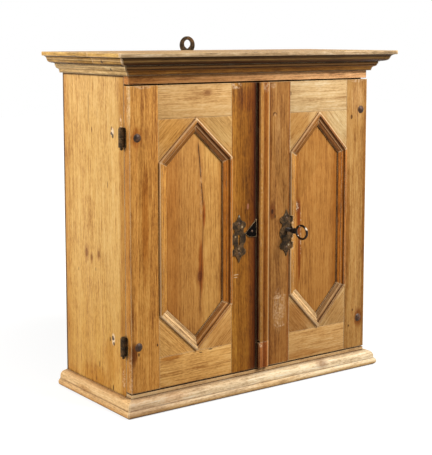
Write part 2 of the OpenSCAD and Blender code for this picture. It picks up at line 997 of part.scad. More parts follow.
module slide_bolt() {
    color(iron) placed() {
        slab(-slide_x - slide_w / 2, -slide_x + slide_w / 2, slide_y, slide_back,
            slide_bottom, slide_bottom + slide_l);
        translate([-slide_x, slide_back - eps, slide_bottom + slide_l - 7]) rotate([-90, 0, 0]) {
            cylinder(r = 3, h = 6);
            translate([0, 0, 8]) sphere(5);
        }
    }
}

// Lock inside the right door

module lock_nails() {
    for (x = lock_nail_xs) {
        for (z = [lock_low - lock_flange / 2, lock_high + lock_flange / 2]) {
            translate([x, door_t + sheet_t, z]) rotate([0, 0, 180]) nail(3.2, 1.6, 1.3, 12);
        }
    }
}

module lock_plate() {
    color(iron) placed() {
        difference() {
            slab(lock_x0, lock_x1, door_t, door_t + sheet_t, lock_low - lock_flange, lock_high + lock_flange);
            upright(door_t - 1, door_t + sheet_t + 1) keyhole(0);
            lock_nails();
        }
        translate([stump_x, door_t + sheet_t - eps, stump_z]) rotate([-90, 0, 0]) {
            cylinder(r = stump_r, h = lock_d - 2 * sheet_t);
        }
    }
}

module lock_cover() {
    y0 = door_t + sheet_t;
    y1 = door_t + lock_d;
    color(iron) placed() difference() {
        slab(lock_x0, lock_x1, y0, y1, lock_low, lock_high);
        slab(lock_x0 + sheet_t, lock_x1 - sheet_t, y0 - 1, y1 - sheet_t,
            lock_low + sheet_t, lock_high - sheet_t);
        slab(lock_x0 - 1, lock_x0 + sheet_t + 1, bar_y - slide_fit, bar_y + bolt_t + slide_fit,
            bar_low - slide_fit, bar_high + slide_fit);
        translate([key_x, y0, key_z]) rotate([-90, 0, 0]) cylinder(r = tip_r + turn_fit, h = lock_d);
    }
}

module lock_spring() {
    wall = lock_high - sheet_t;
    low = bar_high + slide_fit;
    x0 = stump_x - 21;
    x1 = stump_x + 3;
    x2 = stump_x + 19;
    color(iron) placed() upright(bar_y + 0.5, bar_y + bolt_t - 0.5) {
        polygon([
            [x0, wall], [x0, wall - 0.9], [x1, low], [x2, low], [x2 + 12, low + 2],
            [x2 + 12, low + 2.9], [x2, low + 0.9], [x1, low + 0.9], [x0 + 2, wall]
        ]);
    }
}

// The bar has a slot over the lock plate's stump and a notch that takes the key's bit
module lock_bolt() {
    slot = stump_r + slide_fit;
    notch = bit_reach * sin(acos((bar_low - key_z) / bit_reach));
    color(iron) placed() upright(bar_y, bar_y + bolt_t) {
        difference() {
            translate([lock_x0 + 0.5, bar_low]) square([lock_x1 - lock_x0 - 3.5, bar_high - bar_low]);
            for (x = [stump_x, stump_x + bolt_travel]) translate([x, stump_z]) circle(slot);
            translate([stump_x, stump_z - slot]) square([bolt_travel, 2 * slot]);
            translate([key_x - notch + bolt_travel * 0.62 - 3, bar_low - 1]) {
                square([2 * notch - bolt_travel * 0.24 + 6, key_z + bit_reach + 2 - bar_low]);
            }
        }
    }
}

// Key

tip_r = 2.6;

module key_round(radius, y0, y1) translate([0, y0, 0]) rotate([-90, 0, 0]) cylinder(r = radius, h = y1 - y0);

module ring_arc(radius, from, to, bar_r) {
    rotate([0, 0, from]) rotate_extrude(angle = to - from) translate([radius, 0]) circle(bar_r);
}

// Ring of four arcs that run into each other, its bar a little thicker round the ends
module oval_ring(a, b) {
    end = b * 0.75;
    along = a - end;
    rise = b - end;
    drop = (along * along - rise * rise) / (2 * rise);
    turn = atan2(along, drop);
    for (side = [0, 180]) {
        rotate([0, 0, side]) {
            translate([0, along, 0]) ring_arc(end, turn - 4, 184 - turn, ring_bar_r);
            translate([-drop, 0, 0]) ring_arc(b + drop, -turn, turn, ring_bar_r - 0.15);
        }
    }
}

module key() {
    bit_y0 = bar_y + 0.6;
    bit_y1 = door_t + lock_d - sheet_t - 1;
    color(iron) placed() translate([key_x, 0, key_z]) {
        key_round(shank_r, -shank_out - 1, bit_y1);
        key_round(tip_r, bit_y1 - eps, bit_y1 + sheet_t + 1);
        key_round(shank_r + 1.6, -shank_out + 2, -shank_out + 5.5);
        key_round(shank_r + 0.9, -shank_out + 8, -shank_out + 10);
        slab(-1.5, 1.5, bit_y0, bit_y1, -bit_reach, 0);
        translate([0, ring_y, 0]) rotate([0, 90, 0]) {
            oval_ring(ring_l / 2 - ring_bar_r, ring_h / 2 - ring_bar_r);
        }
    }
}

side_left();
side_right();
top_board();
bottom_board();
shelf();
back_board_left();
back_board_middle();
back_board_right();
frieze_rail();
plinth_rail();
crown(0);  // crown_front
crown_left(-crown_reach, crown_joint);
crown_left(crown_joint, case_d);  // crown_left_rear
crown(1);  // crown_right
bed(0);  // bed_front
bed(-1);  // bed_left
bed(1);  // bed_right
base(0);  // base_front
base(-1);  // base_left
base(1);  // base_right
hanging_plate();
case_hinges();
hinge_pins();
case_nails();
left_hinge_stile_board();
left_lock_stile_board();
left_top_rail();
left_bottom_rail();
left_panel();
left_spandrels();
left_upright_mouldings();
left_rising_mouldings();
left_falling_mouldings();
left_door_hinges();
left_door_nails();
left_keyhole_plate();
strike_plate();
slide_bolt_plate();
slide_bolt();
right_hinge_stile_board();
right_lock_stile_board();
right_top_rail();
right_bottom_rail();
right_panel();
right_spandrels();
right_upright_mouldings();
right_rising_mouldings();
right_falling_mouldings();
right_door_hinges();
right_door_nails();
right_keyhole_plate();
meeting_strip();
meeting_strip_patch();
lock_plate();
lock_cover();
lock_spring();
lock_bolt();
key();
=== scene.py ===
import json
import math

import bpy
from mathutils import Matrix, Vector


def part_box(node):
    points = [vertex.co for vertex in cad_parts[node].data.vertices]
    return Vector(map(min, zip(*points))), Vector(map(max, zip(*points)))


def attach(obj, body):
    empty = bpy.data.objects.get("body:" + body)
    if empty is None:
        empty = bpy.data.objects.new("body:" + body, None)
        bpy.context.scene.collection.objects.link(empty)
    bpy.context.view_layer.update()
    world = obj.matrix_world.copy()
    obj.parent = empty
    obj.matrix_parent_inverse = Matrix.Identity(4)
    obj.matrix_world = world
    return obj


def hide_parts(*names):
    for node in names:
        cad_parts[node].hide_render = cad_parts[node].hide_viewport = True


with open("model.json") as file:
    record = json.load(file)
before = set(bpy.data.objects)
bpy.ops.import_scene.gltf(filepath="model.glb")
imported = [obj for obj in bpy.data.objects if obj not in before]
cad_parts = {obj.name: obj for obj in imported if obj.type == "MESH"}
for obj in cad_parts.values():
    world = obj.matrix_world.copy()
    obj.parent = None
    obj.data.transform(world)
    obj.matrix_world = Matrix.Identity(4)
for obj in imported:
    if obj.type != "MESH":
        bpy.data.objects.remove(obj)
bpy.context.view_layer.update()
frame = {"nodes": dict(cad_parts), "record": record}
nodes = frame["nodes"]
bodyOf = {name: body for body, names in frame["record"]["behaviour"]["bodies"].items() for name in names}
scene = bpy.context.scene
mm = 0.001
bpy.ops.object.select_all(action="DESELECT")
print("frame loaded,", len(nodes), "nodes")


def tint(red, green, blue):  # a colour as a picture gives it, made linear for the shaders
    def linear(value):
        value /= 255
        return value / 12.92 if value <= 0.04045 else ((value + 0.055) / 1.055) ** 2.4
    return (linear(red), linear(green), linear(blue), 1)


def gain(red, green, blue):  # how much a stain darkens or a washed place lightens, as a picture shows it
    return (red ** 2.2, green ** 2.2, blue ** 2.2, 1)


# Shader tools

class Wire:  # one socket, with Python's operators
    def __init__(self, shader, socket):
        self.shader = shader
        self.socket = socket

    def maths(self, operation, *values):
        return self.shader.node("Math", {"operation": operation}, dict(enumerate(values)))

    def __add__(self, other):
        return self.maths("ADD", self, other)

    def __radd__(self, other):
        return self.maths("ADD", other, self)

    def __sub__(self, other):
        return self.maths("SUBTRACT", self, other)

    def __rsub__(self, other):
        return self.maths("SUBTRACT", other, self)

    def __mul__(self, other):
        return self.maths("MULTIPLY", self, other)

    def __truediv__(self, other):
        return self.maths("DIVIDE", self, other)

    def __pow__(self, other):
        return self.maths("POWER", self, other)

    def __abs__(self):
        return self.maths("ABSOLUTE", self)

    def exponential(self):
        return self.maths("EXPONENT", self)

    def fraction(self):
        return self.maths("FRACT", self)

    def least(self, other):
        return self.maths("MINIMUM", self, other)

    def most(self, other):
        return self.maths("MAXIMUM", self, other)

    def rise(self, start, end):  # 0 before start, 1 after end, smooth between; start may be the larger
        return self.shader.node("MapRange", {"interpolation_type": "SMOOTHSTEP"},
                                {0: self, 1: start, 2: end, 3: 0.0, 4: 1.0})


class Shader:
    def __init__(self, name, owner=None):
        self.material = owner or bpy.data.materials.new(name)
        self.material.use_nodes = True
        self.tree = self.material.node_tree
        self.tree.nodes.clear()

    def node(self, kind, settings=None, sockets=None, out=0):
        made = self.tree.nodes.new("ShaderNode" + kind)
        for key, value in (settings or {}).items():
            if key == "stops":
                while len(made.color_ramp.elements) < len(value):
                    made.color_ramp.elements.new(0.5)
                for element, (place, colour) in zip(made.color_ramp.elements, value):
                    element.position = place
                    element.color = colour
            else:
                setattr(made, key, value)
        for key, value in (sockets or {}).items():
            if isinstance(value, Wire):
                self.tree.links.new(value.socket, made.inputs[key])
            else:
                made.inputs[key].default_value = value
        return Wire(self, made.outputs[out])

    def place(self):
        return self.node("TexCoord", out=3)

    def dot(self, vector, direction):
        return self.node("VectorMath", {"operation": "DOT_PRODUCT"}, {0: vector, 1: direction}, out=1)

    def shifted(self, vector, offset):
        return self.node("VectorMath", {"operation": "SUBTRACT"}, {0: vector, 1: offset})

    def length(self, vector):
        return self.node("VectorMath", {"operation": "LENGTH"}, {0: vector}, out=1)

    def joined(self, x, y, z):
        return self.node("CombineXYZ", None, {0: x, 1: y, 2: z})

    def noise(self, vector, scale=1.0, detail=2.0, rough=0.5):
        return self.node("TexNoise", None, {
            "Vector": vector, "Scale": scale, "Detail": detail, "Roughness": rough})

    def blend(self, share, first, second, mode="MIX"):
        return self.node("Mix", {"data_type": "RGBA", "blend_type": mode}, {0: share, 6: first, 7: second}, out=2)

    def ramp(self, value, stops):
        return self.node("ValToRGB", {"stops": stops}, {0: value})

    def hollow(self, distance):  # 1 in the open, less where other faces are nearer than the distance
        return self.node("AmbientOcclusion", {"samples": 6}, {"Distance": distance * mm}, out=1)

    def arris(self, distance):  # 1 on flat faces, less where the piece itself is thin behind them
        return self.node("AmbientOcclusion", {"samples": 6, "inside": True, "only_local": True},
                         {"Distance": distance * mm}, out=1)

    def seen(self):  # 1 for what the camera sees, straight, in a gloss or through glass
        rays = self.tree.nodes.new("ShaderNodeLightPath")
        camera, gloss, glass = (Wire(self, rays.outputs[f"Is {kind} Ray"])
                                for kind in ("Camera", "Glossy", "Transmission"))
        return camera.most(gloss).most(glass)

    def output(self, surface, kind="Material"):
        made = self.tree.nodes.new("ShaderNodeOutput" + kind)
        self.tree.links.new(surface.socket, made.inputs[0])

    def finish(self, colour, rough, height, relief, metal=0.0, shine=0.5):
        bump = self.node("Bump", None, {"Strength": relief, "Distance": mm, "Height": height})
        self.output(self.node("BsdfPrincipled", None, {
            "Base Color": colour, "Roughness": rough, "Metallic": metal, "Specular IOR Level": shine,
            "Normal": bump}))
        return self.material


# Wood: the growth rings of a log, cut by the board's own faces

woodTones = {  # dark, middle and pale tones of each part of the cabinet
    "side": ((150, 92, 38), (224, 176, 108), (240, 205, 145)),
    "stile": ((112, 62, 24), (184, 128, 66), (210, 160, 96)),
    "lockStile": ((82, 42, 18), (154, 96, 46), (186, 130, 70)),
    "panel": ((116, 64, 24), (196, 138, 72), (222, 172, 104)),
    "rail": ((146, 98, 48), (212, 168, 106), (234, 202, 148)),
    "spandrel": ((140, 90, 40), (206, 156, 92), (226, 184, 124)),
    "moulding": ((96, 60, 30), (192, 142, 86), (226, 186, 132)),
    "crown": ((74, 54, 28), (178, 142, 92), (222, 192, 142)),
    "base": ((120, 82, 46), (208, 172, 124), (232, 206, 164)),
    "frieze": ((110, 62, 26), (198, 142, 80), (220, 170, 108)),
    "strip": ((100, 56, 24), (178, 120, 62), (206, 156, 96)),
    "inside": ((112, 76, 42), (188, 146, 92), (212, 176, 124)),
    "back": ((66, 48, 32), (128, 98, 66), (160, 128, 92)),
}

grainWays = {  # along the grain, and across the board's face
    "upright": ((0, 0, 1), (1, 0, 0)),
    "level": ((1, 0, 0), (0, 0, 1)),
    "side": ((0, 0, 1), (0, 1, 0)),
    "flat": ((1, 0, 0), (0, 1, 0)),
    "return": ((0, 1, 0), (0, 0, 1)),
}

woodNoises = {  # how fine along the grain and across it, then detail and roughness
    "slow": (1.6, 10, 1, 0.5),
    "quick": (9, 60, 2, 0.5),
    "broad": (1.6, 26, 2, 0.5),
    "streak": (3.5, 150, 3, 0.65),
    "fibre": (22, 620, 2, 0.6),
    "mottle": (30, 95, 3, 0.65),
    "grit": (130, 420, 2, 0.7),
    "flecks": (38, 330, 1, 0.5),
}

woodShape = {
    "wander": 0.004,  # m, by which the rings waver finely
    "deepWander": 0.6,  # share of the wander that shifts them in depth
    "yearScale": 70,
    "yearSpread": 4,  # how uneven the years are
    "lateRise": (0.3, 0.92), "lateFall": (1.0, 0.94), "lateYears": (0.3, 0.68),
    "knotLength": 3.2,  # squared stretch of a knot along the grain
    "knotFade": 7,  # how far the fibres bend round a knot
    "knotPull": 0.75,
    "knotRagged": 0.9,
    "knotRings": (2.4, 1.6),  # how many, and how uneven
    "knotHalo": (5.5, 1.0), "knotHaloShare": 0.4, "knotEdge": (1.25, 0.6),
    "patchScale": 19,
    "poreRise": (0.66, 0.75),
    "toneStops": (0.05, 0.5, 0.95),
    "palest": 0.92,
    "mirrorTurn": (0.31, 0.77, 0.4),  # shifts between the four corner pieces
    "arris": 3,  # mm
    "wearAndHighlightRise": (0.84, 0.6), "dirtRise": (0.78, 0.35),
    "shine": 0.1, "rough": 0.46,
}

woodMarks = {  # colours, how ragged each mark is, and where it starts and is full
    "knotTones": ((84, 40, 16), (134, 78, 38), (58, 26, 12)),
    "stainRagged": 1.2, "stainRise": (1.2, 0.1),
    "washRagged": 0.004,  # m
    "lineRagged": 0.5, "lineUneven": (0.6, 0.8),
    "crackRagged": 0.006, "crackTaper": 0.012,  # m
    "crackTone": (46, 24, 12), "crackSoft": 0.4,
    "crackHalo": (120, 62, 24), "crackHaloWidth": 6, "crackHaloShare": 0.5,
    "spotRagged": 1.6, "spotRise": (1.15, 0.5),
    "scuffTone": (226, 190, 150), "scuffScale": 230, "scuffRise": (1.1, 0.2), "speckRise": (0.44, 0.62),
}


class Wood(Shader):  # one board's material: u runs along its grain, v across its face, w into it
    def __init__(self, name, look):
        super().__init__(name + "_wood")
        self.look = look
        low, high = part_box(name)
        self.centre = (low + high) / 2
        self.along, self.across = (Vector(way) for way in look["grain"])
        self.model = self.log = self.place()
        if "mirror" in look:  # four corner pieces, each with its own piece of wood
            self.centre = Vector((look["mirror"][0] * mm, self.centre.y, look["mirror"][1] * mm))
        offset = self.shifted(self.model, tuple(self.centre))
        if "mirror" in look:
            x, y, z = (self.dot(offset, way) for way in (upX, upY, upZ))
            self.log = offset = self.joined(abs(x), y, abs(z))
        ways = (self.along, self.across, self.along.cross(self.across))
        self.u, self.v, self.w = (self.dot(offset, tuple(way)) for way in ways)
        if "mirror" in look:
            turnX, turnZ, turnAcross = woodShape["mirrorTurn"]
            corner = x.rise(-mm, mm) * turnX + z.rise(-mm, mm) * turnZ
            self.u = self.u + corner
            self.v = self.v + corner * turnAcross
        self.mottle = self.grained("mottle", self.v)
        self.patch = self.noise(self.log, woodShape["patchScale"], 3.0, 0.6)

    def grained(self, kind, across, turn=1):  # noise that is drawn out along the grain
        length, width, detail, rough = woodNoises[kind]
        place = self.joined(self.u * length + self.look["seed"] * turn, across * width, self.w * width)
        return self.noise(place, 1.0, detail, rough)

    def local(self, point):
        spot = Vector(point) * mm - self.centre
        return spot.dot(self.along), spot.dot(self.across)

    def around(self, point, size):  # squared distance from a place on the part, 1 at the size given
        spot = self.shifted(self.model, tuple(Vector(point) * mm))
        du = self.dot(spot, tuple(self.along)) / (size[0] * mm)
        dv = self.dot(spot, tuple(self.across)) / (size[1] * mm)
        return du * du + dv * dv

    def lateWood(self, flow, quick):  # the dark side of each ring
        look = self.look
        pith = [value * mm for value in look["pith"]]
        wander = (self.grained("slow", flow) - 0.5) * look["wander"] + (quick - 0.5) * woodShape["wander"]
        ry = flow - pith[0] - self.u * look["lean"][0] + wander
        rz = self.w - pith[1] - self.u * look["lean"][1] + wander * woodShape["deepWander"]
        radius = (ry * ry + rz * rz) ** 0.5
        years = self.noise(self.joined(radius * woodShape["yearScale"], look["seed"], 0.0), 1.0, 2.0)
        part = (radius / (look["pitch"] * mm) + years * woodShape["yearSpread"]).fraction()
        ring = part.rise(*woodShape["lateRise"]) * part.rise(*woodShape["lateFall"])
        return ring * years.rise(*woodShape["lateYears"])

    def marked(self, colour, quick):
        look, shape, mottle = self.look, woodMarks, self.mottle - 0.5
        way, start, end = look["face"]
        outer = self.dot(self.model, way).rise(start * mm, end * mm)

        for point, size, value in look["stains"]:
            mark = (self.around(point, size) + mottle * shape["stainRagged"]).rise(*shape["stainRise"])
            colour = self.blend(mark * outer, colour, gain(*value), "MULTIPLY")

        # washes along an axis, among them painted light and shade
        for way, start, end, value in look["washes"]:
            at = self.dot(self.model, way) + (quick - 0.5) * shape["washRagged"]
            colour = self.blend(at.rise(start * mm, end * mm), colour, gain(*value), "MULTIPLY")

        least, spread = shape["lineUneven"]
        # dark lines of painted shade and dirt, and pale lines of painted highlight
        for way, distance, width, share, *tone in look["lines"]:
            away = self.dot(self.model, way) - distance * mm + (quick - 0.5) * width * shape["lineRagged"] * mm
            mark = abs(away).rise(width * mm, 0.0) * share * (self.mottle * spread + least)
            colour = self.blend(mark, colour, tint(*(tone[0] if tone else look["dirt"])))

        for start, end, width, share in look["cracks"]:
            (u0, v0), (u1, v1) = self.local(start), self.local(end)
            path = v0 + (self.u - u0) * ((v1 - v0) / (u1 - u0)) + (quick - 0.5) * shape["crackRagged"]
            taper = math.copysign(shape["crackTaper"], u1 - u0)
            share = (self.u - u0).rise(0.0, taper) * (self.u - u1).rise(0.0, -taper) * share
            gap = abs(self.v - path)
            halo = gap.rise(width * shape["crackHaloWidth"] * mm, 0.0) * shape["crackHaloShare"]
            split = gap.rise(width * mm, width * shape["crackSoft"] * mm)
            colour = self.blend(halo * share, colour, tint(*shape["crackHalo"]))
            colour = self.blend(split * share, colour, tint(*shape["crackTone"]))

        for point, size, share, value in look["spots"]:
            mark = (self.around(point, size) + mottle * shape["spotRagged"]).rise(*shape["spotRise"])
            colour = self.blend(mark * outer * share, colour, tint(*value))

        for point, size, share in look["scuffs"]:
            specks = self.noise(self.log, shape["scuffScale"], 2.0, 0.6) * 0.7 + self.mottle * 0.3
            mark = (self.around(point, size) + (self.patch - 0.5)).rise(*shape["scuffRise"])
            mark = mark * specks.rise(*shape["speckRise"])
            colour = self.blend(mark * outer * share, colour, tint(*shape["scuffTone"]))
        return colour

    def dress(self):
        look, shape, mottle, patch = self.look, woodShape, self.mottle, self.patch

        # knots push the fibres aside
        knots = []
        flow = self.v
        for point, radius in look["knots"]:
            ku, kv = self.local(point)
            du, dv = self.u - ku, self.v - kv
            reach = (du * du / shape["knotLength"] + dv * dv) / (radius * mm) ** 2
            knots.append(reach)
            flow = flow - dv * (0 - reach / shape["knotFade"]).exponential() * shape["knotPull"]

        # rings, streaks, fibres, pores and patches
        quick = self.grained("quick", flow)
        late = self.lateWood(flow, quick)
        fibre = self.grained("fibre", self.v)
        noises = {"broad": self.grained("broad", flow, 2), "streak": self.grained("streak", flow), "fibre": fibre,
                  "patch": patch, "mottle": mottle, "grit": self.grained("grit", self.v)}
        tone = sum(((noise - 0.5) * look[kind] for kind, noise in noises.items()), 0.5) - late * look["late"]
        tones = [tuple(min(channel * share, shape["palest"])
                       for channel, share in zip(tint(*value), look["dye"] + (1,)))
                 for value in woodTones[look["tone"]]]
        colour = self.ramp(tone, tuple(zip(shape["toneStops"], tones)))
        pores = self.grained("flecks", self.v).rise(*shape["poreRise"])
        colour = self.blend(pores * look["flecks"], colour, tones[0])

        # knots' own rings
        core, ring, rim = (tint(*value) for value in woodMarks["knotTones"])
        count, uneven = shape["knotRings"]
        for reach in knots:
            edge = reach + (quick - 0.5) * shape["knotRagged"]
            eye = (reach ** 0.5 * count + quick * uneven).fraction()
            halo = edge.rise(*shape["knotHalo"]) * shape["knotHaloShare"]
            colour = self.blend(halo, colour, tint(*look["halo"]))
            colour = self.blend(edge.rise(*shape["knotEdge"]) * look["knotDepth"], colour,
                                self.ramp(eye, ((0, core), (0.6, ring), (1, rim))))

        colour = self.marked(colour, quick)

        # painted shade and dirt in the hollows and joints, worn arrises with a painted highlight
        wearAndHighlightShare, dirtShare = look["edges"]
        # painted shade and dirt: darker where other faces are near
        grimeAndShade = (self.hollow(look["depth"]) + (mottle - 0.5) * 0.2).rise(*shape["dirtRise"]) * dirtShare
        # worn arrises paled to bare wood, which also paints their highlight
        worn = (self.arris(shape["arris"]) + (mottle - 0.5) * 0.5).rise(*shape["wearAndHighlightRise"])
        worn = worn * (patch * 1.1 + 0.4).least(1.0) * wearAndHighlightShare
        colour = self.blend(grimeAndShade, colour, tint(*look["dirt"]))
        colour = self.blend(worn, colour, tint(*look["bare"]))

        rough = patch * 0.16 - late * 0.06 + shape["rough"]
        height = fibre * 0.35 - late * 0.25 + patch * 0.3 + mottle * 0.3
        return self.finish(colour, rough, height, look["relief"], shine=shape["shine"])


# Every board, with its own piece of the log: which way the grain runs, where the pith lay, and its marks

dyes = {  # each board's own tint
    "base_front": (1.41, 1.65, 2.05),
    "base_left": (1.14, 1.08, 0.97),
    "bed_front": (1.11, 0.8, 0.38),
    "bed_left": (1.2, 1.21, 1.16),
    # the crown front is dyed darker partly as painted shade under the cornice
    "crown_front": (0.57, 0.55, 0.53),
    "crown_left": (1.12, 0.97, 0.58),
    "frieze_rail": (1.05, 1.0, 1.07),
    "left_bottom_rail": (0.99, 0.87, 0.66),
    "left_hinge_stile_board": (1.14, 1.1, 0.85),
    "left_lock_stile_board": (0.91, 0.89, 0.4),
    "left_panel": (0.92, 0.89, 0.78),
    "left_rising_mouldings": (0.75, 0.6, 0.34),
    "left_spandrels": (0.96, 0.92, 0.83),
    "left_top_rail": (0.98, 0.95, 0.94),
    "left_upright_mouldings": (1.0, 0.82, 0.43),
    "meeting_strip": (0.98, 0.98, 0.72),
    "meeting_strip_patch": (1.13, 1.03, 0.9),
    "right_bottom_rail": (0.84, 0.75, 0.65),
    "right_hinge_stile_board": (0.89, 0.94, 0.93),
    "right_lock_stile_board": (0.76, 0.73, 0.67),
    "right_panel": (0.8, 0.73, 0.59),
    "right_spandrels": (0.86, 0.91, 1.0),
    "right_top_rail": (1.02, 1.12, 1.37),
    "side_left": (0.87, 0.85, 0.73),
}
dyes.update(base_right=dyes["base_left"], bed_right=dyes["bed_left"], crown_left_rear=dyes["crown_left"],
            crown_right=dyes["crown_left"], plinth_rail=dyes["base_front"], side_right=dyes["side_left"],
            right_falling_mouldings=dyes["left_rising_mouldings"],
            right_upright_mouldings=dyes["left_upright_mouldings"])

upX, upY, upZ = (1, 0, 0), (0, 1, 0), (0, 0, 1)
# the first tone is for painted highlights; the others for torn places, holes and burns
paintedHighlight, torn, hole, burnt = (236, 200, 152), (236, 208, 170), (38, 20, 10), (70, 36, 18)

# where stains, spots and scuffs show: along a direction, from none to full, in mm
doorFace, caseFace = (upY, -79, -82), (upX, -278, -283)
everywhere = (upY, 9000, 8000)  # full all over the cabinet

usual = {
    "lean": (0.012, 0.02),  # slant of the log's middle
    "pitch": 3.4,  # mm from ring to ring
    "wander": 0.006,  # m
    "broad": 0.45, "streak": 0.6, "fibre": 1.0, "patch": 0.35, "mottle": 0.4, "grit": 0.7, "late": 0.16,
    "flecks": 0.4, "knotDepth": 0.8, "halo": (128, 68, 26), "relief": 0.4,
    "depth": 9,  # mm, how near a face is for painted shade and dirt to gather
    "edges": (0.5, 0.75),  # wear and painted highlight on the arrises, painted shade and dirt in the hollows
    # tones of the painted shade and dirt in hollows and dark lines, and of worn wood with a painted highlight on
    # the arrises
    "dirt": (50, 28, 12), "bare": (226, 194, 148), "dye": (1, 1, 1),
    "face": everywhere,
    "knots": [],  # place, radius
    "stains": [],  # place, size along and across the grain, gain
    "washes": [],  # along an axis: direction, start, end, gain
    "lines": [],  # dark lines of painted shade and dirt in a hollow, pale lines of painted highlight on an arris: direction, distance, width, share, its own tone
    "cracks": [],  # wavering splits along the grain: start, end, width, share
    "spots": [],  # nail holes, bruises and torn places: place, size, share, tone
    "scuffs": [],  # rubbed places with pale specks: place, size, share
}


# Places on the outer faces, in mm

def onDoor(x, z):
    return (x, -89, z)


def onPanel(x, z):
    return (x, -84, z)


def onSide(y, z):
    return (-287, y, z)


def onStileEdge(z):
    return (-287, -84, z)


